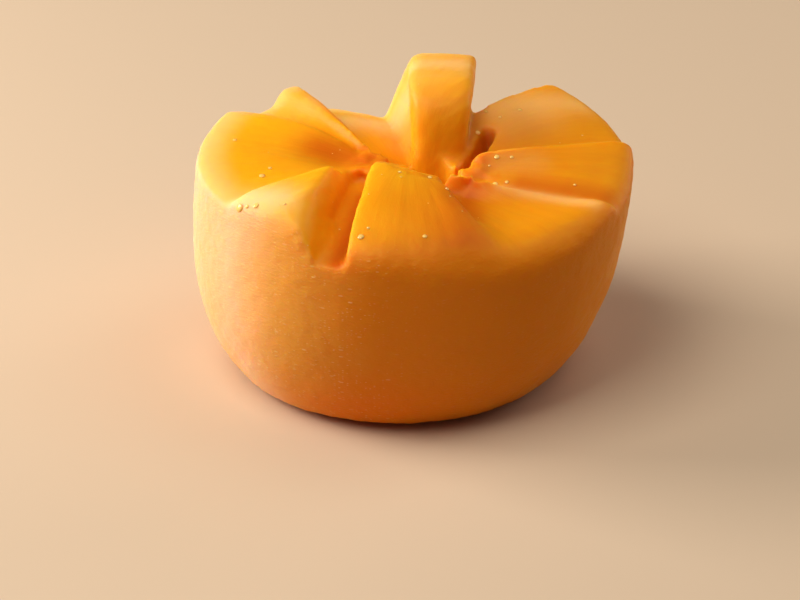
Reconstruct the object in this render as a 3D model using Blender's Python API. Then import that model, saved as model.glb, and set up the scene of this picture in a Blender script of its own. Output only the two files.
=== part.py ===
"""A mango with its crown cut into wedges that spread like petals, one of them standing tall at the back."""

from math import ceil, cos, hypot, pi, radians, sin, sqrt

import bmesh
import bpy
from mathutils import Matrix, Vector, noise

MM = 0.001

# Driving dimensions of the fruit, in millimetres. The origin is the middle of the flat it stands on.
HALF_WIDTH = 47.4  # across X, at the widest
HALF_DEPTH = 44.1  # across Y
WIDEST_Z = 46.5  # height of the widest ring
CROWN_Z = 61.8  # top of the uncut crown
BASE_RADIUS = 29.0  # flat that the fruit rests on
HEEL = 2.2  # height of the rounding above the flat
SUNK = 7.6  # how far the round belly would reach below the flat
BELLY_POWERS = (2.73, 3.4)  # fullness of the belly's outline
CROWN_POWER = 3.0  # fullness of the shoulder
LEAN = (3.9, 2.4)  # how far the widest ring is moved off the base, in X and Y
LUMP = 0.5  # unevenness of the skin
LUMP_SIZE = 34.0  # distance between the lumps

SEGMENTS = 96
BELLY_RINGS = 15
RING_BUNCHING = 1.6  # above 1 the belly's rings lie closer together near the base
CROWN_RINGS = 6
SLICE_RINGS = 6  # between the core and the shoulder, and as many inside the core
SHOULDER_RINGS = 4
WIDEST_STEP = 5.0  # degrees between the lines of the sliced top
CUT_TOP = 75.0  # cutters reach up to here, clear of the fruit

# The sliced top is a sheet of knife lines, from an elliptical core to the oval rim.
CORE_CENTRE = (3.0, -1.5)
CORE_RADII = (16.0, 9.5)
CORE_Z = 47.0
BEYOND_RIM = 1.35  # the slicing tool reaches past the rim by this factor
PAST_SKIN = 0.8  # the rounded shoulder runs out this far past the rim

# Each row is a knife line, once round from the right side of the slot: azimuth in degrees and height where
# the line leaves the core, azimuth and height where it meets the rim, radius of the rounded shoulder there,
# and rise of the line halfway. A petal climbs to a crest and then drops steeply.
KNIFE_LINES = (
    (234, 52.6, 250, 46.0, 3.0, 2.2),
    (250, 52.4, 258, 46.0, 3.5, 2.2),
    (290, 49.5, 289, 46.6, 8.0, 2.2),
    (296, 44.5, 294, 45.8, 8.0, 0.5),
    (301, 45.0, 315, 46.8, 8.0, -0.5),
    (307, 50.5, 334, 47.6, 5.0, -2.4),
    (313, 44.5, 337, 44.8, 5.0, 1.5),
    (372, 49.8, 367, 48.8, 4.0, 0.3),
    (384, 45.0, 371, 45.0, 3.0, 2.2),
    (420, 46.0, 391, 46.8, 3.0, 3.4),
    (440, 46.5, 409, 48.5, 3.0, 2.8),
    (442, 41.0, 411, 34.5, 1.0, 2.2),
    (455, 42.0, 459, 34.2, 1.0, 2.2),
    (470, 43.0, 472, 38.0, 1.0, 2.2),
    (481, 43.5, 482, 39.6, 1.0, 2.2),
    (483, 45.5, 484, 46.3, 1.5, 2.2),
    (488, 48.5, 489, 46.3, 1.5, 1.9),
    (490, 46.3, 493, 42.6, 1.0, 2.2),
    (492, 46.2, 499, 42.6, 1.0, 2.2),
    (495, 47.0, 505, 45.3, 1.0, 2.2),
    (503, 46.4, 512, 47.8, 1.5, 1.6),
    (515, 46.2, 520, 47.7, 2.0, 1.2),
    (527, 45.9, 530, 47.4, 2.0, 1.2),
    (540, 46.3, 540, 47.8, 2.0, 1.6),
    (560, 47.3, 572, 48.0, 2.0, 0.8),
    (563, 50.6, 574, 51.0, 6.0, 0.3),
    (584, 51.6, 606, 52.0, 6.0, 1.0),
    (594, 52.6, 610, 46.0, 3.0, 2.2),
)

# Knife cuts made downwards into the sliced top: inner and outer end of the middle line seen from above,
# width at both ends, height of the floor at both ends, and how far each side flares for each millimetre of
# height: first the side on the left of someone looking outwards, then the other.
CUTS = {
    "slot": ((-6.8, -2.6), (-17.0, -51.8), (5.2, 6.8), (43.7, 43.0), (0.0, 0.45)),
    "core_slit": ((13.6, -2.0), (20.4, 12.6), (2.6, 2.0), (40.0, 42.0), (0.1, 0.1)),
}

# The torn hollow where the petals meet.
PIT_CENTRE = (5.5, -1.4)
PIT_RADII = (13.0, 9.6)
PIT_TURN = -28.0  # degrees
PIT_Z = 38.0
PIT_FLOOR = 0.55  # size of its floor beside its mouth
PIT_SIDES = 22
PIT_TEARING = 0.22  # how ragged its edge is
PIT_TEAR_SCALE = 3.7  # how closely the tears follow each other

# The wedge left standing: its foot and its top, each front left, front right, back right, back left.
# Its back is the fruit's own skin.
POST_FOOT = ((4.6, -1.0, 32.0), (12.0, -1.0, 32.0), (15.0, 50.0, 32.0), (-4.0, 50.0, 32.0))
POST_TOP = ((2.3, 9.0, 61.0), (16.6, 9.0, 61.0), (18.6, 50.0, 49.6), (3.4, 50.0, 49.6))
POST_BROW = 9.0  # rounding between its front and its top
POST_BROW_STEPS = 6
POST_ROUNDING = 2.2  # rounding of its other edges
POST_ROUNDING_STEPS = 3

FRUIT_COLOUR = (0.86, 0.42, 0.06)
FRUIT_ROUGHNESS = 0.42
SQUARE_EDGE = 40.0  # edges that turn further than this, in degrees, are rounded
SHARP_EDGE = 35.0  # edges that turn further than this are shaded sharp


def material(name, colour, roughness):
    made = bpy.data.materials.new(name)
    made.use_nodes = True
    shader = made.node_tree.nodes["Principled BSDF"]
    shader.inputs["Base Color"].default_value = (*colour, 1.0)
    shader.inputs["Roughness"].default_value = roughness
    shader.inputs["Metallic"].default_value = 0.0
    return made


def object_of(bm, name):
    bmesh.ops.recalc_face_normals(bm, faces=bm.faces)
    mesh = bpy.data.meshes.new(name)
    bm.to_mesh(mesh)
    bm.free()
    made = bpy.data.objects.new(name, mesh)
    bpy.context.scene.collection.objects.link(made)
    return made


def helper(bm, name):
    """A cutter or an addition: it shapes the fruit and isn't a piece of its own."""
    made = object_of(bm, name)
    made.hide_render = True
    made.display_type = "WIRE"
    return made


def belly_radius(z):
    """Radius of the round belly, with its heel drawn in to the flat."""
    low = (WIDEST_Z - z) / (WIDEST_Z + SUNK)
    radius = HALF_WIDTH * (1 - low ** BELLY_POWERS[0]) ** (1 / BELLY_POWERS[1])
    if z < HEEL:
        quarter_round = sqrt(1 - (1 - z / HEEL) ** 2)
        radius = BASE_RADIUS + (radius - BASE_RADIUS) * quarter_round
    return radius


def outline():
    """Half the fruit's outline, from the middle of the base to the crown, as (radius, height)."""
    points = [(0.0, 0.0)]
    for ring in range(BELLY_RINGS + 1):
        z = WIDEST_Z * (ring / BELLY_RINGS) ** RING_BUNCHING
        points.append((belly_radius(z), z))
    for ring in range(1, CROWN_RINGS):
        turn = ring / CROWN_RINGS * pi / 2
        radius = HALF_WIDTH * cos(turn) ** (2 / CROWN_POWER)
        points.append((radius, WIDEST_Z + (CROWN_Z - WIDEST_Z) * sin(turn) ** (2 / CROWN_POWER)))
    points.append((0.0, CROWN_Z))
    return points


def whole_fruit():
    """The fruit before it is cut: a turned outline made oval, leaning and slightly lumpy."""
    bm = bmesh.new()
    ring = [bm.verts.new((radius, 0.0, z)) for radius, z in outline()]
    edges = [bm.edges.new(pair) for pair in zip(ring, ring[1:])]
    bmesh.ops.spin(
        bm, geom=ring + edges, axis=(0, 0, 1), cent=(0, 0, 0), angle=2 * pi, steps=SEGMENTS, use_merge=True
    )
    bmesh.ops.remove_doubles(bm, verts=bm.verts, dist=0.0001)
    for vert in bm.verts:
        x, y, z = vert.co
        lump = LUMP * noise.noise(Vector((x, y, z)) / LUMP_SIZE) * min(1.0, z / (2 * HEEL))
        reach = hypot(x, y)
        grow = 1 + lump / reach if reach > 1 else 1.0
        vert.co = (
            x * grow + LEAN[0] * z / WIDEST_Z,
            y * grow * HALF_DEPTH / HALF_WIDTH + LEAN[1] * z / WIDEST_Z,
            z,
        )
    bmesh.ops.scale(bm, vec=(MM, MM, MM), verts=bm.verts)
    return object_of(bm, "mango")


def on_ellipse(centre, radii, azimuth):
    turn = radians(azimuth)
    return Vector((centre[0] + radii[0] * cos(turn), centre[1] + radii[1] * sin(turn)))


def columns():
    """The knife lines with others fitted in between, none further apart than the widest step at the rim."""
    lines = [KNIFE_LINES[0]]
    for first, last in zip(KNIFE_LINES, KNIFE_LINES[1:]):
        count = ceil((last[2] - first[2]) / WIDEST_STEP)
        for step in range(1, count + 1):
            lines.append(tuple(a + (b - a) * step / count for a, b in zip(first, last)))
    return lines


def line_point(line, ring):
    """A point of a knife line. Ring 0 is the core's middle and the last ring lies beyond the rim."""
    core_azimuth, core_z, rim_azimuth, rim_z, shoulder, doming = line
    start = on_ellipse(CORE_CENTRE, CORE_RADII, core_azimuth)
    if ring < SLICE_RINGS:
        inward = ring / SLICE_RINGS
        middle = Vector((*CORE_CENTRE, CORE_Z))
        return middle.lerp(Vector((*start, core_z)), inward)
    rim = on_ellipse(LEAN, (HALF_WIDTH, HALF_DEPTH), rim_azimuth)
    length = (rim - start).length
    if ring > 2 * SLICE_RINGS + SHOULDER_RINGS:
        return Vector((*start.lerp(rim, BEYOND_RIM), rim_z - shoulder))
    turn = max(0, ring - 2 * SLICE_RINGS) / SHOULDER_RINGS * pi / 2
    straight = (length - shoulder) * min(1.0, (ring - SLICE_RINGS) / SLICE_RINGS)
    reach = (straight + (shoulder + PAST_SKIN) * sin(turn)) / length
    z = core_z + (rim_z - core_z) * reach + doming * 4 * reach * (1 - reach) - shoulder * (1 - cos(turn))
    return Vector((*start.lerp(rim, reach), z))


def slicing_tool():
    """A tool that takes off everything above the petals' tops."""
    lines = columns()
    rings = 2 * SLICE_RINGS + SHOULDER_RINGS + 1
    bm = bmesh.new()
    bmesh.ops.create_grid(bm, x_segments=len(lines) - 1, y_segments=rings, size=0.5)
    for vert in bm.verts:
        line = lines[round((vert.co.x + 0.5) * (len(lines) - 1))]
        vert.co = line_point(line, round((vert.co.y + 0.5) * rings))
    bmesh.ops.remove_doubles(bm, verts=bm.verts, dist=0.0001)
    lifted = bmesh.ops.extrude_face_region(bm, geom=bm.faces[:])
    for element in lifted["geom"]:
        if isinstance(element, bmesh.types.BMVert):
            element.co.z = CUT_TOP
    bmesh.ops.scale(bm, vec=(MM, MM, MM), verts=bm.verts)
    return helper(bm, "sliced_top")


def trench(name, inner, outer, widths, floor, flare):
    """A knife cut with a sloping floor and flaring sides, running outwards from its inner end."""
    along = (Vector(outer) - Vector(inner)).normalized()
    rightwards = Vector((along.y, -along.x))
    bm = bmesh.new()
    bmesh.ops.create_cube(bm, size=2.0)
    for vert in bm.verts:
        side, end, above = vert.co.x, int(vert.co.y > 0), vert.co.z > 0
        run = widths[end] / 2
        if above:
            run += flare[int(side > 0)] * (CUT_TOP - floor[end])
        place = Vector((inner, outer)[end]) + rightwards * side * run
        vert.co = (place.x, place.y, CUT_TOP if above else floor[end])
    bmesh.ops.scale(bm, vec=(MM, MM, MM), verts=bm.verts)
    return helper(bm, name)


def pit():
    """The torn hollow where the petals meet, with a ragged edge."""
    bm = bmesh.new()
    bmesh.ops.create_cone(
        bm, cap_ends=True, segments=PIT_SIDES, radius1=PIT_FLOOR, radius2=1.0, depth=2.0
    )
    for vert in bm.verts:
        tear = noise.noise(Vector((vert.co.x, vert.co.y, 0)) * PIT_TEAR_SCALE)
        ragged = 1 + PIT_TEARING * tear
        across = Vector((vert.co.x * PIT_RADII[0], vert.co.y * PIT_RADII[1])) * ragged
        across.rotate(Matrix.Rotation(radians(PIT_TURN), 2))
        vert.co = (PIT_CENTRE[0] + across.x, PIT_CENTRE[1] + across.y, PIT_Z if vert.co.z < 0 else CUT_TOP)
    bmesh.ops.scale(bm, vec=(MM, MM, MM), verts=bm.verts)
    return helper(bm, "pit")


def round_off(bm, edges, offset, steps):
    bmesh.ops.bevel(
        bm, geom=edges, offset=offset, segments=steps, profile=0.5, affect="EDGES", material=-1
    )


def standing_wedge(uncut):
    """The wedge that keeps the fruit's own crown and skin behind it."""
    bm = bmesh.new()
    bmesh.ops.create_cube(bm, size=2.0)
    corner = {(-1, -1): 0, (1, -1): 1, (1, 1): 2, (-1, 1): 3}
    for vert in bm.verts:
        which = corner[round(vert.co.x), round(vert.co.y)]
        vert.co = (POST_TOP if vert.co.z > 0 else POST_FOOT)[which]
    brow = [edge for edge in bm.edges if all(vert.co.z == POST_TOP[0][2] for vert in edge.verts)]
    round_off(bm, brow, POST_BROW, POST_BROW_STEPS)
    others = [
        edge
        for edge in bm.edges
        if edge.calc_face_angle() > radians(SQUARE_EDGE)
        and max(vert.co.z for vert in edge.verts) > POST_FOOT[0][2]
    ]
    round_off(bm, others, POST_ROUNDING, POST_ROUNDING_STEPS)
    bmesh.ops.scale(bm, vec=(MM, MM, MM), verts=bm.verts)
    wedge = helper(bm, "standing_wedge")
    boolean(wedge, uncut, "INTERSECT")
    return wedge


def boolean(target, tool, operation):
    modifier = target.modifiers.new(tool.name, "BOOLEAN")
    modifier.operation = operation
    modifier.solver = "MANIFOLD"
    modifier.object = tool


def main():
    for old in list(bpy.data.objects):
        bpy.data.objects.remove(old)
    fruit = whole_fruit()
    fruit.data.materials.append(material("fruit", FRUIT_COLOUR, FRUIT_ROUGHNESS))
    uncut = bpy.data.objects.new("uncut_fruit", fruit.data.copy())
    bpy.context.scene.collection.objects.link(uncut)
    uncut.hide_render = True
    uncut.display_type = "WIRE"
    for tool in [slicing_tool(), *(trench(name, *numbers) for name, numbers in CUTS.items()), pit()]:
        boolean(fruit, tool, "DIFFERENCE")
    boolean(fruit, standing_wedge(uncut), "UNION")
    fruit.data.shade_smooth()
    fruit.data.set_sharp_from_angle(angle=radians(SHARP_EDGE))


main()
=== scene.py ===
import bpy, bmesh, random
from math import cos, exp, hypot, radians, sin
from mathutils import Matrix, Vector, noise
from mathutils.bvhtree import BVHTree


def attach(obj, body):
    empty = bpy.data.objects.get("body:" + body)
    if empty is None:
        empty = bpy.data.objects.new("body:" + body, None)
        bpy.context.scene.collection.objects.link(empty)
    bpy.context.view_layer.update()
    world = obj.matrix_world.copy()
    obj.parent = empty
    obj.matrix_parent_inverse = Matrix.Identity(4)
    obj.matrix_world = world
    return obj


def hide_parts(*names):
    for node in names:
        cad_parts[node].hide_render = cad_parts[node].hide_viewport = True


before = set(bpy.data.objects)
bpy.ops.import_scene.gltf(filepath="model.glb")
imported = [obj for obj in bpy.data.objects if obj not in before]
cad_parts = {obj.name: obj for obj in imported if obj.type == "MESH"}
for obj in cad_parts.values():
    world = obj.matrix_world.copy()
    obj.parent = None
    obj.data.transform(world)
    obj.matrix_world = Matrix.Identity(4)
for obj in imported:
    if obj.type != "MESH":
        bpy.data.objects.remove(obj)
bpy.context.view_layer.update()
print("frame loaded")


# small helpers for nodes and objects

def feed(tree, node, values):
    for name, value in values.items():
        if isinstance(value, bpy.types.NodeSocket):
            tree.links.new(value, node.inputs[name])
        else:
            node.inputs[name].default_value = value
    return node


def add(tree, kind, place, values=None, **settings):
    made = tree.nodes.new("ShaderNode" + kind)
    made.location = place
    for name, value in settings.items():
        setattr(made, name, value)
    return feed(tree, made, values or {})


def blendColour(tree, place, factor, first, second):
    return add(tree, "Mix", place, {0: factor, 6: first, 7: second}, data_type="RGBA").outputs[2]


def sums(tree, place, operation, first, second, third=0.0):
    return add(tree, "Math", place, {0: first, 1: second, 2: third}, operation=operation).outputs[0]


def fade(tree, place, value, least, most, low=0.0, high=1.0):
    values = {"Value": value, "From Min": least, "From Max": most, "To Min": low, "To Max": high}
    return add(tree, "MapRange", place, values, interpolation_type="SMOOTHSTEP").outputs[0]


def newObject(name, mesh):
    made = bpy.data.objects.new(name, mesh)
    bpy.context.scene.collection.objects.link(made)
    return made


def smoothStep(value, least, most):  # 0 to 1
    share = min(1.0, max(0.0, (value - least) / (most - least)))
    return share * share * (3 - 2 * share)


# the fruit: its outline before it was cut, and how its surface is finished

fruit = {
    "halfWidth": 0.0474,  # widest ring, left to right
    "halfDepth": 0.0441,  # widest ring, front to back
    "widestHeight": 0.0465,
    "crownHeight": 0.0618,
    "crownPower": 3,  # 2 would be an ellipse
    "baseRadius": 0.029,
    "heel": 0.0022,  # height of the rounding above the flat base
    "sunk": 0.0076,  # how far the outline would go on below the base
    "fullness": (2.73, 3.4),  # powers of the lower outline
    "lean": (0.0039, 0.0024),  # how far the widest ring stands off the base's middle
    "core": (0.0030, -0.0015),  # where the petals meet
    "weld": 0.00001,
    "grid": 0.00062,  # spacing of the finished mesh
    "rounding": 6,  # passes that soften the knife edges
    "softRings": (1.0, 0.8, 0.6),  # each soft spot is smoothed in three rings, so it has no rim
    "softSpots": {  # place, radius, passes: edges that are rounder than the rest
        "groove": ((-0.019, 0.025, 0.048), 0.011, 16),
        "slotEdge": ((-0.008, -0.020, 0.050), 0.005, 10),
        "slotFront": ((-0.012, -0.036, 0.044), 0.004, 10),
        "thinCrest": ((-0.024, -0.015, 0.050), 0.012, 6),
        "frontShoulder": ((0.007, -0.039, 0.046), 0.0125, 60),
        "frontRight": ((0.024, -0.034, 0.044), 0.0115, 45),
        "frontValley": ((0.0155, -0.031, 0.048), 0.0075, 60),
        "valleyHead": ((0.0118, -0.022, 0.0500), 0.0055, 36),
        "slotWall": ((-0.0185, -0.0275, 0.0478), 0.0092, 120),
        "postEdge": ((0.0030, 0.0075, 0.0520), 0.0068, 60),
    },
    "bandFade": 0.003,  # height over which a band dies away under its top
    "shades": {  # painted shade: bands where the flesh is painted darker, in valleys, hollows, the slot and on faces that lie in shade; two ends in plan, width, strength, top
        "frontValley": ((0.0115, -0.016), (0.0150, -0.034), 0.0062, 0.60, 0.060),
        "valleyHead": ((0.0152, -0.0075), (0.0145, -0.022), 0.0036, 0.70, 0.060),
        "rightValley": ((0.0265, -0.0088), (0.0440, -0.0130), 0.0030, 0.70, 0.060),
        "leftHollow": ((-0.0165, 0.006), (-0.0065, 0.002), 0.0055, 0.85, 0.060),
        "slotFloor": ((-0.0130, -0.0415), (-0.0060, -0.010), 0.0045, 1.00, 0.0475),
        "slotWall": ((-0.0180, -0.0345), (-0.0145, -0.0160), 0.0030, 0.05, 0.060),
        "frontEdge": ((-0.0030, -0.0385), (0.0130, -0.0375), 0.0055, 0.40, 0.060),
        "frontFace": ((0.0020, -0.0260), (0.0080, -0.0300), 0.0080, 0.38, 0.060),
        "leftFace": ((-0.0290, 0.0040), (-0.0180, 0.0050), 0.0090, 0.15, 0.060),
        "backLeftFace": ((-0.0240, 0.0300), (-0.0140, 0.0170), 0.0055, 0.25, 0.060),
        "postSide": ((0.0005, 0.0140), (-0.0010, 0.0340), 0.0030, 0.18, 0.062),
    },
    "pales": {  # painted highlights and sheen: bands where the flesh is painted paler as if lit, given the same way
        "nearLeft": ((-0.0350, -0.022), (-0.0270, -0.024), 0.0060, 1.00, 0.060),
        "backLeft": ((-0.0300, 0.034), (-0.0200, 0.027), 0.0055, 0.15, 0.060),
        "back": ((-0.0120, 0.028), (-0.0020, 0.031), 0.0060, 0.55, 0.060),
        "postLeft": ((0.0010, 0.016), (-0.0010, 0.036), 0.0030, 0.15, 0.062),
        "postTop": ((0.0040, 0.034), (0.0150, 0.032), 0.0070, 0.45, 0.062),
        "farRightCrest": ((0.0200, 0.020), (0.0400, 0.026), 0.0050, 0.35, 0.060),
        "farRightFace": ((0.0235, 0.0140), (0.0310, 0.0170), 0.0055, 0.18, 0.060),
        "rightHead": ((0.0215, -0.0015), (0.0290, -0.0020), 0.0035, 0.12, 0.060),
        "nearRightCrest": ((0.0225, -0.0106), (0.0420, -0.0172), 0.0020, 0.45, 0.060),
    },
    "paleReach": (0.0005, 0.009),  # painted light: flesh this near the skin is painted paler
    "paleWay": (-0.9, 0.45),  # most of all on the far left, the lamp side
    "paleSide": (-0.015, 0.030),
    "paleMost": 0.62,
    "paleTurn": (0.25, 0.65),  # and not where it faces right, away from the lamp
    "skinThickness": 0.0006,
    "skinFade": 0.0005,
    "skinRoll": (0.30, 0.96),  # how far the surface turns outwards where skin begins on a shoulder
    "skinDepth": (0.0034, 0.0056),  # and how deep such skin may lie
    "lump": 0.00022,  # slow unevenness
    "lumpSize": 0.009,
    "dimple": 0.00013,  # on the skin
    "dimpleSize": 0.0019,
    "fibre": 0.00013,  # on the flesh
    "fibreTurns": 15.0,
    "fibreLength": 0.012,
    "fibreRise": 0.0025,
    "pit": (0.0055, -0.0014),  # middle of the torn hollow where the petals meet
    "pitSize": (0.013, 0.0096),
    "pitTurn": -28.0,
    "tear": 0.0011,  # ragged edge round the pit
    "tearRise": 0.5,  # it moves less up and down than across
    "tearSize": 0.0024,
    "tearReach": 0.24,
    "tearSeed": 8,  # without it the ragged edge would differ from run to run
    "tearHeights": ((0.040, 0.044), (0.052, 0.055)),  # where the tearing begins and ends
    "wedgeFoot": ((0.000, 0.003), (0.014, 0.017), (-0.003, 0.000)),  # kept clean: left, right, front
    "lastPass": 0.4,  # light smoothing after the relief
    "grooveReach": 0.014,  # how far a facing wall counts when grooves are found
    "grooveRays": 10,
    "grooveLift": 0.0003,  # rays start this far off the surface
    "grooveRange": (0.15, 0.60),
    "grooveShade": 0.4,
    "grooveBlur": 3,
}
goldenAngle = 2.39996  # radians, spreads the rays evenly
fullSkin = 0.9  # share of skin above which a point is not flesh
attributeNames = ("Skin", "Depth", "Torn", "Shade", "Pale")  # what the mesh tells its materials


def depthUnderSkin(point):  # metres
    rise = point.z / fruit["widestHeight"]
    x = point.x - fruit["lean"][0] * rise
    y = (point.y - fruit["lean"][1] * rise) * fruit["halfWidth"] / fruit["halfDepth"]
    across = hypot(x, y)
    if rise > 1:
        wide = fruit["halfWidth"]
        tall = fruit["crownHeight"] - fruit["widestHeight"]
        up = point.z - fruit["widestHeight"]
        power = fruit["crownPower"]
        fill = max(1e-6, ((across / wide) ** power + (up / tall) ** power) ** (1 / power))
        slope = hypot(across ** (power - 1) / wide ** power, up ** (power - 1) / tall ** power)
        return (1 - fill) / max(slope / fill ** (power - 1), 1.0)
    low = (fruit["widestHeight"] - point.z) / (fruit["widestHeight"] + fruit["sunk"])
    radius = fruit["halfWidth"] * (1 - low ** fruit["fullness"][0]) ** (1 / fruit["fullness"][1])
    if point.z < fruit["heel"]:
        quarter = max(0.0, 1 - (1 - point.z / fruit["heel"]) ** 2) ** 0.5
        radius = fruit["baseRadius"] + (radius - fruit["baseRadius"]) * quarter
    return min(radius - across, point.z)


def tearing(point):  # 0 to 1
    at = Vector((point.x - fruit["pit"][0], point.y - fruit["pit"][1]))
    at.rotate(Matrix.Rotation(radians(-fruit["pitTurn"]), 2))
    reach = hypot(at.x / fruit["pitSize"][0], at.y / fruit["pitSize"][1])
    edge = exp(-((reach - 1) / fruit["tearReach"]) ** 2)
    footLeft, footRight, footFront = fruit["wedgeFoot"]
    foot = smoothStep(point.x, *footLeft) * (1 - smoothStep(point.x, *footRight))
    foot *= smoothStep(point.y, *footFront)
    bottom, top = fruit["tearHeights"]
    return edge * (1 - foot) * smoothStep(point.z, *bottom) * (1 - smoothStep(point.z, *top))


def skinAt(point, normal):  # 0 to 1
    depth = depthUnderSkin(point)
    half = fruit["skinFade"] / 2
    whole = 1 - smoothStep(depth, fruit["skinThickness"] - half, fruit["skinThickness"] + half)
    outwards = Vector((point.x - fruit["core"][0], point.y - fruit["core"][1], 0)).normalized()
    rolled = smoothStep(normal.dot(outwards), *fruit["skinRoll"])
    rolled *= 1 - smoothStep(depth, *fruit["skinDepth"])
    return max(whole, rolled)


def finishedMesh(node):
    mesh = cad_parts[node].data.copy()
    bm = bmesh.new()
    bm.from_mesh(mesh)
    bmesh.ops.remove_doubles(bm, verts=bm.verts, dist=fruit["weld"])
    bm.to_mesh(mesh)
    bm.free()
    rough = newObject("roughFruit", mesh)
    remesh = rough.modifiers.new("grid", "REMESH")
    remesh.mode = "VOXEL"
    remesh.voxel_size = fruit["grid"]
    bpy.context.view_layer.update()
    graph = bpy.context.evaluated_depsgraph_get()
    finished = bpy.data.meshes.new_from_object(rough.evaluated_get(graph))
    bpy.data.objects.remove(rough)
    finished.name = "cutFruit"
    return finished


def soften(bm, verts, passes, factor=0.5):
    for turn in range(passes):
        bmesh.ops.smooth_vert(
            bm, verts=verts, factor=factor, use_axis_x=True, use_axis_y=True, use_axis_z=True,
        )


def bands(point, named):  # 0 to 1
    rest = 1.0
    for near, far, width, strength, top in named.values():
        first, way = Vector(near), Vector(far) - Vector(near)
        share = min(1.0, max(0.0, (point.xy - first).dot(way) / way.length_squared))
        away = (point.xy - first - way * share).length
        under = 1 - smoothStep(point.z, top - fruit["bandFade"], top)
        rest *= 1 - strength * exp(-(away / width) ** 2) * under
    return 1 - rest


# painted light on the flesh: paler near the skin on the lamp side, and in the painted highlight
# bands
def paleness(point, normal, skin):  # 0 to 1
    side = smoothStep(point.xy.dot(Vector(fruit["paleWay"])), *fruit["paleSide"]) * fruit["paleMost"]
    shallow = 1 - smoothStep(depthUnderSkin(point), *fruit["paleReach"])
    palest = max(side * shallow * (1 - skin), bands(point, fruit["pales"]))
    return palest * (1 - smoothStep(normal.x, *fruit["paleTurn"]))


def grooveDepths(bm, skin):  # 0 in the open to 1 between close walls, for each vertex of flesh
    tree = BVHTree.FromBMesh(bm)
    rays = []
    for number in range(fruit["grooveRays"]):
        turn = goldenAngle * number
        rise = (number + 0.5) / fruit["grooveRays"]
        across = (1 - rise) ** 0.5
        rays.append(Vector((cos(turn) * across, sin(turn) * across, rise ** 0.5)))
    found = [0.0] * len(bm.verts)
    for vert in bm.verts:
        if vert[skin] > fullSkin:
            continue
        facing = Vector((0, 0, 1)).rotation_difference(vert.normal)
        start = vert.co + vert.normal * fruit["grooveLift"]
        for ray in rays:
            distance = tree.ray_cast(start, facing @ ray, fruit["grooveReach"])[3]
            if distance is not None:
                found[vert.index] += (1 - distance / fruit["grooveReach"]) / len(rays)
    for turn in range(fruit["grooveBlur"]):
        found = [
            (found[vert.index] + sum(found[edge.other_vert(vert).index] for edge in vert.link_edges))
            / (1 + len(vert.link_edges)) for vert in bm.verts
        ]
    return found


def dressMesh(mesh):
    bm = bmesh.new()
    bm.from_mesh(mesh)
    soften(bm, [vert for vert in bm.verts if vert.co.z > fruit["heel"]], fruit["rounding"])
    for place, radius, passes in fruit["softSpots"].values():
        for share in fruit["softRings"]:
            near = [vert for vert in bm.verts if (vert.co - Vector(place)).length < radius * share]
            soften(bm, near, passes // len(fruit["softRings"]))
    bm.normal_update()
    core = Vector((*fruit["core"], 0))
    noise.seed_set(fruit["tearSeed"])
    for vert in bm.verts:
        point = vert.co.copy()
        skin = skinAt(point, vert.normal)
        out = point - core
        spoke = Vector((out.x, out.y, 0)).normalized() * fruit["fibreTurns"]
        spoke.z = hypot(out.x, out.y) / fruit["fibreLength"] + point.z / fruit["fibreRise"]
        push = fruit["lump"] * noise.noise(point / fruit["lumpSize"])
        push += fruit["dimple"] * noise.noise(point / fruit["dimpleSize"]) * skin
        push += fruit["fibre"] * noise.noise(spoke) * (1 - skin)
        push *= smoothStep(point.z, 0.0, fruit["heel"])
        ragged = noise.noise_vector(point / fruit["tearSize"]) * fruit["tear"] * tearing(point)
        ragged.z *= fruit["tearRise"]
        vert.co = point + vert.normal * push + ragged
    soften(bm, [vert for vert in bm.verts if vert.co.z > fruit["heel"]], 1, fruit["lastPass"])
    bm.normal_update()
    layers = {name.lower(): bm.verts.layers.float.new(name.lower()) for name in attributeNames}
    for vert in bm.verts:
        vert[layers["skin"]] = skinAt(vert.co, vert.normal)
        vert[layers["depth"]] = depthUnderSkin(vert.co) * 1000  # millimetres
        vert[layers["torn"]] = tearing(vert.co)
    bm.verts.index_update()
    grooves = grooveDepths(bm, layers["skin"])
    for vert in bm.verts:
        # painted shade in grooves and between close walls, joined with the painted shade bands
        narrow = smoothStep(grooves[vert.index], *fruit["grooveRange"]) * fruit["grooveShade"]
        vert[layers["shade"]] = 1 - (1 - narrow) * (1 - bands(vert.co, fruit["shades"]))
        vert[layers["pale"]] = paleness(vert.co, vert.normal, vert[layers["skin"]])
    for face in bm.faces:
        face.smooth = True
        skinShare = sum(vert[layers["skin"]] for vert in face.verts) / len(face.verts)
        face.material_index = int(skinShare > 0.5)  # 1 is the skin's material
    bm.to_mesh(mesh)
    bm.free()


# finishes

flesh = {
    "colours": {
        "Golden Flesh": (0.94, 0.40, 0.005, 1),
        "Deep Flesh": (0.76, 0.25, 0.003, 1),
        # colour of the painted light on the flesh
        "Flesh Under Skin": (0.97, 0.60, 0.23, 1),
        "Shaded Flesh": (0.62, 0.11, 0.0008, 1),
    },
    "streaks": 26.0,  # closeness of the streaks round the core
    "streakFade": 90.0,  # and how soon they change outwards
    "streakRise": 420.0,  # and upwards
    "unevenness": (0.5, -0.25),  # how far the streaks change the colour, and their middle
    "ripening": (3.0, 32.0),  # deeper in colour from here to here, in millimetres under the skin
    "ripeMost": 0.3,
    "deeperRight": (-0.012, 0.030, 0.0, 0.78),  # painted shade: flesh deeper in colour towards the right, away from the lamp; from, to, least, most
    # the torn rim of the pit takes the shaded colour: partly torn flesh, partly painted shade of the
    # hollow
    "torn": 0.4,
    "roughness": (0.5, 0.22),  # how much the mottling changes it, and the least
    "grainRelief": 0.25,
    "relief": (0.3, 0.0003),  # strength and height
    "shader": {
        "Subsurface Weight": 0.9,
        "Subsurface Radius": (1.0, 0.45, 0.08),
        "Subsurface Scale": 0.004,
        "Specular IOR Level": 0.12,
    },
}
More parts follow.
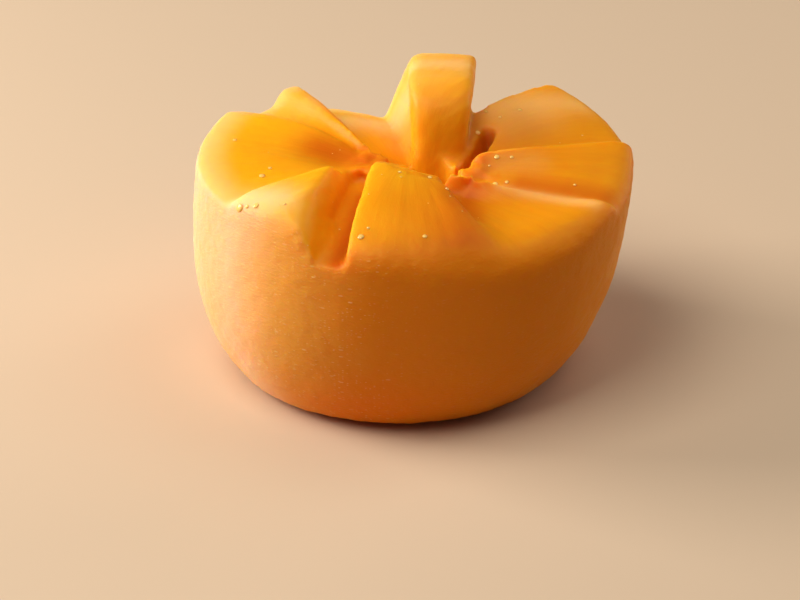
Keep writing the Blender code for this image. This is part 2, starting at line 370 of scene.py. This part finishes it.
peel = {
    "colours": {
        "Pale Skin": (0.96, 0.51, 0.26, 1),
        "Golden Skin": (0.86, 0.385, 0.06, 1),
        "Warm Skin": (0.76, 0.23, 0.005, 1),
        "Low Skin": (0.84, 0.185, 0.001, 1),
        "Dots": (0.97, 0.62, 0.26, 1),
    },
    "toGolden": (-0.047, -0.026),  # left to right: paler on the left, partly the skin's own colour, partly painted light on the lamp side
    "toWarm": (-0.030, -0.004),
    "wander": (0.012, -0.006),  # how far the mottling shifts those two, and its middle
    # painted light: how strongly the painted-light mask paints the skin paler
    "worn": 0.9,
    # painted shade: the skin is painted redder and darker low on the front, near the floor
    "lowHeights": (0.004, 0.024, 0.8, 0.0),  # from, to, least, most
    "lowLeft": (-0.034, -0.012),
    "lowRight": (-0.004, 0.020, 1.0, 0.30),
    "dotSizes": ((1700.0, 0.35, 0.36), (820.0, 0.62, 0.34)),  # closeness, share left out, radius
    "dotEdge": 0.14,
    "dotStretch": (0.62, 0.62, 1.7),  # wider than they are high
    "dotPatches": (0.35, 0.65, 0.15, 0.55),
    "dotsFadeRight": (-0.012, 0.008, 1.0, 0.15),
    "roughness": (0.2, 0.42),  # how much the grain changes it, and the least
    "dotRelief": 0.7,
    "pitRelief": 2.0,
    "relief": (0.8, 0.0007),
    "shader": {
        "Subsurface Weight": 0.5,
        "Subsurface Radius": (1.0, 0.40, 0.10),
        "Subsurface Scale": 0.003,
        "Specular IOR Level": 0.12,
    },
}
patterns = {  # closeness, detail, roughness
    "mottle": (110.0, 3.0, 0.55),
    "grain": (1400.0, 3.0, 0.6),
    "pits": (1500.0, 2.0, 0.5),
}


def noiseOf(tree, place, vector, scale, detail, roughness):
    values = {"Vector": vector, "Scale": scale, "Detail": detail, "Roughness": roughness}
    return add(tree, "TexNoise", place, values).outputs[0]


def vectorSums(tree, place, operation, first, second, output=0):
    made = add(tree, "VectorMath", place, {0: first, 1: second}, operation=operation)
    return made.outputs[output]


def makeLookGroup():
    group = bpy.data.node_groups.new("mangoSurface", "ShaderNodeTree")
    face = group.interface
    for name in attributeNames:
        face.new_socket(name, in_out="INPUT", socket_type="NodeSocketFloat")
    for name in (*flesh["colours"], *peel["colours"]):
        face.new_socket(name, in_out="INPUT", socket_type="NodeSocketColor")
    face.new_socket("Colour", in_out="OUTPUT", socket_type="NodeSocketColor")
    face.new_socket("Roughness", in_out="OUTPUT", socket_type="NodeSocketFloat")
    face.new_socket("Height", in_out="OUTPUT", socket_type="NodeSocketFloat")
    source = group.nodes.new("NodeGroupInput")
    source.location = (-1600, 0)
    given = source.outputs
    result = group.nodes.new("NodeGroupOutput")
    result.location = (1400, 0)
    place = add(group, "TexCoord", (-1600, -500)).outputs["Object"]

    # streaks that run from the core outwards
    fromCore = vectorSums(group, (-1400, -500), "SUBTRACT", place, (*fruit["core"], 0))
    flat = vectorSums(group, (-1200, -500), "MULTIPLY", fromCore, (1, 1, 0))
    reach = vectorSums(group, (-1000, -400), "LENGTH", flat, (0, 0, 0), "Value")
    spoke = vectorSums(group, (-1000, -550), "NORMALIZE", flat, (0, 0, 0))
    split = add(group, "SeparateXYZ", (-1000, -700), {0: place}).outputs
    along = sums(group, (-800, -400), "MULTIPLY", reach, flesh["streakFade"])
    above = sums(group, (-800, -700), "MULTIPLY", split["Z"], flesh["streakRise"])
    spread = vectorSums(group, (-800, -550), "MULTIPLY", spoke, (flesh["streaks"],) * 3)
    lift = add(group, "CombineXYZ", (-600, -400), {"Z": along}).outputs[0]
    streaks = add(group, "TexNoise", (-400, -550), {
        "Vector": vectorSums(group, (-600, -550), "ADD", spread, lift),
        "W": above, "Scale": 1.0, "Detail": 4.0, "Roughness": 0.6,
    }, noise_dimensions="4D").outputs[0]
    mottle = noiseOf(group, (-400, -850), place, *patterns["mottle"])
    grain = noiseOf(group, (-400, -1100), place, *patterns["grain"])

    # flesh
    inward = fade(group, (-600, 300), given["Depth"], *flesh["ripening"])
    uneven = sums(group, (-400, 300), "MULTIPLY_ADD", streaks, *flesh["unevenness"])
    # painted shade towards the right side, added to the ripening deeper under the skin
    right = fade(group, (-600, 100), split["X"], *flesh["deeperRight"])
    inner = sums(group, (-300, 200), "MULTIPLY_ADD", inward, flesh["ripeMost"], right)
    total = add(group, "Math", (-200, 300), {0: inner, 1: uneven}, operation="ADD", use_clamp=True)
    ripe = total.outputs[0]
    body = blendColour(group, (0, 300), ripe, given["Golden Flesh"], given["Deep Flesh"])
    # painted light: the flesh is blended paler where the painted-light mask is high
    rind = blendColour(group, (200, 300), given["Pale"], body, given["Flesh Under Skin"])
    # painted shade: the torn pit rim, grooves and shade bands darken the flesh towards the shaded
    # colour
    torn = sums(group, (0, -50), "MULTIPLY", given["Torn"], flesh["torn"])
    shaded = sums(group, (200, 100), "MAXIMUM", torn, given["Shade"])
    ragged = blendColour(group, (400, 300), shaded, rind, given["Shaded Flesh"])

    # skin, with its small pale dots
    wander = sums(group, (-600, 700), "MULTIPLY_ADD", mottle, *peel["wander"])
    across = sums(group, (-400, 700), "ADD", split["X"], wander)
    gold = fade(group, (-200, 800), across, *peel["toGolden"])
    blush = fade(group, (-200, 600), across, *peel["toWarm"])
    early = blendColour(group, (0, 800), gold, given["Pale Skin"], given["Golden Skin"])
    # painted light: the skin is painted paler where the painted-light mask is high
    worn = sums(group, (0, 900), "MULTIPLY", given["Pale"], peel["worn"])
    glossy = blendColour(group, (100, 800), worn, early, given["Pale Skin"])
    upper = blendColour(group, (200, 700), blush, glossy, given["Warm Skin"])
    # painted shade low on the front of the skin
    low = fade(group, (0, 500), split["Z"], *peel["lowHeights"])
    fromLeft = fade(group, (0, 350), split["X"], *peel["lowLeft"])
    toRight = fade(group, (0, 200), split["X"], *peel["lowRight"])
    middle = sums(group, (150, 350), "MULTIPLY", fromLeft, toRight)
    lower = sums(group, (200, 550), "MULTIPLY", low, middle)
    ground = blendColour(group, (350, 700), lower, upper, given["Low Skin"])
    dotPlace = vectorSums(group, (-800, 1000), "MULTIPLY", place, peel["dotStretch"])
    dots = []
    for row, (scale, leftOut, widest) in enumerate(peel["dotSizes"]):
        level = 1000 + 300 * row
        cells = add(group, "TexVoronoi", (-600, level), {"Vector": dotPlace, "Scale": scale})
        pick = add(group, "SeparateColor", (-400, level), {0: cells.outputs["Color"]})
        size = fade(group, (-200, level), pick.outputs[0], leftOut, 1.0, 0.0, widest)
        apart = sums(group, (0, level), "SUBTRACT", size, cells.outputs["Distance"])
        dots.append(fade(group, (200, level), apart, 0.0, peel["dotEdge"]))
    dot = sums(group, (400, 1000), "MAXIMUM", *dots)
    patchy = fade(group, (400, 1300), mottle, *peel["dotPatches"])
    plain = fade(group, (200, 1450), split["X"], *peel["dotsFadeRight"])
    strong = sums(group, (500, 1300), "MULTIPLY", patchy, plain)
    shown = sums(group, (500, 1000), "MULTIPLY", dot, strong)
    dotted = blendColour(group, (600, 700), shown, ground, given["Dots"])
    colour = blendColour(group, (700, 400), given["Skin"], ragged, dotted)
    group.links.new(colour, result.inputs["Colour"])

    # roughness
    wet = sums(group, (400, -100), "MULTIPLY_ADD", mottle, *flesh["roughness"])
    dry = sums(group, (400, -250), "MULTIPLY_ADD", grain, *peel["roughness"])
    shine = add(group, "Mix", (700, -100), {0: given["Skin"], 2: wet, 3: dry}).outputs[0]
    group.links.new(shine, result.inputs["Roughness"])

    # relief
    cut = sums(group, (400, -500), "MULTIPLY_ADD", grain, flesh["grainRelief"], streaks)
    pits = noiseOf(group, (-400, -1350), dotPlace, *patterns["pits"])
    deepPits = sums(group, (200, -700), "MULTIPLY", pits, peel["pitRelief"])
    pores = sums(group, (400, -700), "MULTIPLY_ADD", dot, peel["dotRelief"], deepPits)
    relief = add(group, "Mix", (700, -500), {0: given["Skin"], 2: cut, 3: pores}).outputs[0]
    group.links.new(relief, result.inputs["Height"])
    return group


def newMaterial(name, shaderValues):
    material = bpy.data.materials.new(name)
    material.use_nodes = True
    feed(material.node_tree, material.node_tree.nodes["Principled BSDF"], shaderValues)
    return material


def makeMaterial(name, group, finish):
    material = newMaterial(name, finish["shader"])
    tree = material.node_tree
    look = tree.nodes.new("ShaderNodeGroup")
    look.node_tree = group
    look.location = (-400, 0)
    for row, layer in enumerate(attributeNames):
        source = add(tree, "Attribute", (-700, -200 * row), attribute_name=layer.lower())
        tree.links.new(source.outputs["Fac"], look.inputs[layer])
    feed(tree, look, {**flesh["colours"], **peel["colours"]})
    strength, height = finish["relief"]
    bump = add(tree, "Bump", (-200, -300), {
        "Height": look.outputs["Height"], "Strength": strength, "Distance": height,
    })
    feed(tree, tree.nodes["Principled BSDF"], {
        "Base Color": look.outputs["Colour"],
        "Roughness": look.outputs["Roughness"],
        "Normal": bump.outputs[0],
    })
    return material


surfaceGroup = makeLookGroup()
fleshMaterial = makeMaterial("wetFlesh", surfaceGroup, flesh)
peelMaterial = makeMaterial("mangoSkin", surfaceGroup, peel)
print("materials made")

fruitMesh = finishedMesh("mango")
dressMesh(fruitMesh)
mango = newObject("cutMango", fruitMesh)
mango.data.materials.clear()
mango.data.materials.append(fleshMaterial)
mango.data.materials.append(peelMaterial)
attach(mango, "root")
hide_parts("mango")
print("fruit made:", len(mango.data.polygons), "faces")


# beads of juice on the cut faces

juice = {
    "shader": {
        "Base Color": (1.0, 0.56, 0.14, 1),
        "Roughness": 0.12,
        "Subsurface Weight": 0.3,
        "Subsurface Radius": (1.0, 0.7, 0.4),
        "Subsurface Scale": 0.001,
    },
    "flatness": 0.36,  # height over width
    "size": 0.85,
    "sunk": 0.40,  # share of its height under the surface
    "steepest": 0.3,  # none lies where the surface faces up less than this
    "smooth": 0.0004,  # beads wider than this have more faces
    "dropFrom": 0.2,  # height from which each is dropped on the fruit
    "glints": {  # petal, then plan place and radius in millimetres
        "farLeft": ((-35.3, 8.8, 0.55), (-28.9, -8.5, 0.8), (-27.3, -5.0, 0.5)),
        "nearLeft": ((-33.2, -23.4, 1.1), (-31.6, -24.4, 0.6), (-29.7, -25.3, 0.8)),
        "nearLeftTip": ((-23.6, -26.4, 0.45),),
        "front": ((-7.6, -35.1, 0.8), (-6.1, -33.0, 0.45), (5.7, -35.2, 0.6)),
        "frontTop": ((0.5, -13.0, 0.5), (6.9, -11.7, 0.6), (10.5, -17.3, 0.5)),
        "farRight": ((26.8, 19.2, 0.6), (22.4, 16.1, 0.5), (17.5, 11.5, 0.7), (19.4, 18.2, 0.45)),
        "right": ((21.4, -0.8, 0.7), (24.6, -0.7, 0.5)),
        "nearRight": ((37.9, -9.3, 0.45), (20.9, -7.8, 0.7), (23.4, -7.7, 0.5)),
    },
    "fine": 24,  # tiny beads, strewn at random
    "fineReach": (0.3, 0.9),
    "fineRadius": (0.00014, 0.00028),
    "fineSeed": 12,
}


def addBead(bm, tree, x, y, radius):
    place, normal = tree.ray_cast(Vector((x, y, juice["dropFrom"])), Vector((0, 0, -1)))[:2]
    if place is None or normal.z < juice["steepest"]:
        return
    turn = Vector((0, 0, 1)).rotation_difference(normal).to_matrix().to_4x4()
    lift = Matrix.Translation(place + normal * radius * juice["flatness"] * (1 - 2 * juice["sunk"]))
    shape = Matrix.Diagonal((radius, radius, radius * juice["flatness"], 1))
    fineness = 2 if radius > juice["smooth"] else 1
    bmesh.ops.create_icosphere(bm, subdivisions=fineness, radius=1.0, matrix=lift @ turn @ shape)


def beadMesh(ground):
    bm = bmesh.new()
    bm.from_mesh(ground)
    tree = BVHTree.FromBMesh(bm)
    bm.clear()
    for glints in juice["glints"].values():
        for x, y, radius in glints:
            addBead(bm, tree, x / 1000, y / 1000, radius * juice["size"] / 1000)
    draw = random.Random(juice["fineSeed"])
    for turn in range(juice["fine"]):
        reach = draw.uniform(*juice["fineReach"])
        angle = draw.uniform(0, 360)
        x = fruit["core"][0] + reach * fruit["halfWidth"] * cos(radians(angle))
        y = fruit["core"][1] + reach * fruit["halfDepth"] * sin(radians(angle))
        addBead(bm, tree, x, y, draw.uniform(*juice["fineRadius"]))
    for face in bm.faces:
        face.smooth = True
    mesh = bpy.data.meshes.new("juiceBeads")
    bm.to_mesh(mesh)
    bm.free()
    return mesh


beads = newObject("juiceBeads", beadMesh(fruitMesh))
beads.data.materials.append(newMaterial("juice", juice["shader"]))
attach(beads, "root")
print("juice made:", len(beads.data.polygons), "faces")


# floor, lights and camera

studio = {
    "floorSize": 3.0,
    "floor": {"Base Color": (0.64, 0.48, 0.33, 1), "Roughness": 0.6},
    "litPlace": (0.003, 0.002, 0.03),  # where the lamps point
    "lamps": {  # place, width, power, colour
        "key": ((-0.64, 0.16, 0.30), 0.35, 5.9, (1.0, 0.95, 0.90)),
        "overhead": ((-0.28, -0.20, 0.74), 0.50, 4.15, (1.0, 0.96, 0.88)),
        "high": ((0.32, 0.10, 0.70), 0.40, 1.0, (1.0, 0.95, 0.86)),
        "back": ((0.56, 0.34, 0.18), 0.30, 1.3, (1.0, 0.95, 0.92)),
    },
    "sky": {"Color": (0.92, 0.95, 1.0, 1), "Strength": 0.06},
    "sensor": 36.0,
    "turningPoint": (0, 0, 0.0218),
    "distance": 0.95,
    "elevation": 29.5,
    "aim": (0.00055, -0.00376, 0.01515),
    "seenWidth": 0.1747,  # metres across the picture, at the distance given
}


def lookingAt(place, target):
    return (Vector(target) - place).to_track_quat("-Z", "Y").to_euler()


bm = bmesh.new()
bmesh.ops.create_grid(bm, x_segments=1, y_segments=1, size=studio["floorSize"])
floorMesh = bpy.data.meshes.new("floor")
bm.to_mesh(floorMesh)
bm.free()
floor = newObject("floor", floorMesh)
floor.data.materials.append(newMaterial("paleFloor", studio["floor"]))

for name, (place, width, power, colour) in studio["lamps"].items():
    lamp = bpy.data.lights.new(name, "AREA")
    lamp.size = width
    lamp.energy = power
    lamp.color = colour
    stand = newObject(name, lamp)
    stand.location = place
    stand.rotation_euler = lookingAt(stand.location, studio["litPlace"])

sky = bpy.data.worlds.new("studio")
sky.use_nodes = True
feed(sky.node_tree, sky.node_tree.nodes["Background"], studio["sky"])
bpy.context.scene.world = sky
bpy.context.scene.view_settings.view_transform = "Standard"

cameraData = bpy.data.cameras.new("camera")
cameraData.sensor_width = studio["sensor"]
cameraData.lens = studio["sensor"] * studio["distance"] / studio["seenWidth"]
camera = newObject("camera", cameraData)
tilt = radians(studio["elevation"])
backwards = Vector((0, -cos(tilt), sin(tilt)))
camera.location = Vector(studio["turningPoint"]) + backwards * studio["distance"]
camera.rotation_euler = lookingAt(camera.location, studio["aim"])
bpy.context.scene.camera = camera
print("studio made")
